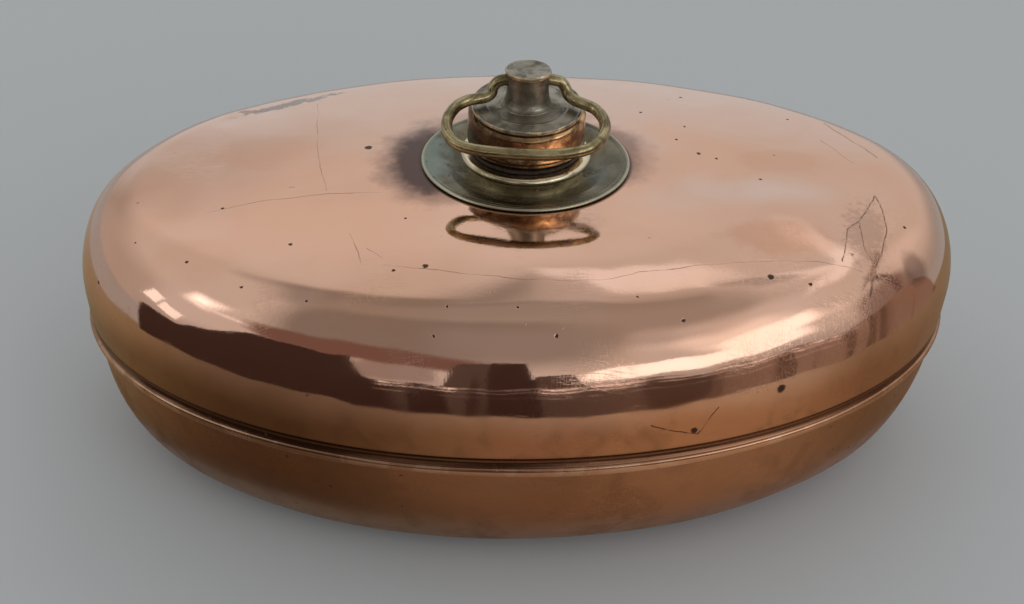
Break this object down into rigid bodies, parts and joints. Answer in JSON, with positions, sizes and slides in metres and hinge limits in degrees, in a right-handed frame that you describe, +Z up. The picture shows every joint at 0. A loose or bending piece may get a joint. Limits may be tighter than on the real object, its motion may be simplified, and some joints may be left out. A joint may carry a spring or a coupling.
{
  "type": "hot water bed warmer",
  "caption": "Oval copper hot water bottle for a bed, with a rolled side seam, a dished brass flange and a screw stopper with a swinging wire bail.",
  "frame": {"origin": "middle of the flat base, on the floor", "axes": "+X along the oval's length, +Y across it towards the back, +Z up along the neck"},
  "size_m": [0.302, 0.196, 0.129],
  "materials": {
    "copper_top": "polished, with a faint pale pink patina",
    "copper_pan": "brown patina, half polished",
    "solder": "dull tinned",
    "brass_flange": "tarnished, half polished",
    "brass_bright": "polished by use",
    "leather_washer": "dark, worn",
    "brass_plug": "satin",
    "copper_drum": "polished, speckled",
    "brass_dark": "dull pewter brown",
    "brass_wire": "polished by use"
  },
  "bodies": {
    "vessel": {"upper_shell": "copper_top", "lower_pan": "copper_pan", "seam_solder": "solder", "neck_flange": "brass_flange", "flange_solder": "solder", "neck_ring": "brass_bright", "neck_solder": "solder"},
    "washers": {"sealing_washer": "leather_washer", "backing_washer": "brass_plug"},
    "stopper": {"stopper_plug": "brass_plug", "stopper_drum": "copper_drum", "stopper_crown": "brass_dark", "handle_post": "brass_dark"},
    "bail": {"bail_handle": "brass_wire"}
  },
  "joints": [
    {"name": "stopper_rise", "type": "slide", "parent": "vessel", "child": "washers", "axis": [0, 0, 1], "range_m": [0, 0.0126]},
    {"name": "stopper_turn", "type": "hinge", "parent": "washers", "child": "stopper", "pos_m": [0, 0, 0.1], "axis": [0, 0, 1], "range_deg": [0, 1800]},
    {"name": "bail_swing", "type": "hinge", "parent": "stopper", "child": "bail", "pos_m": [0, 0, 0.12508], "axis": [-1, 0, 0], "range_deg": [0, 245]}
  ],
  "couplings": [
    {"joint": "stopper_rise", "follows": "stopper_turn", "m_per_rad": 0.00039789}
  ]
}
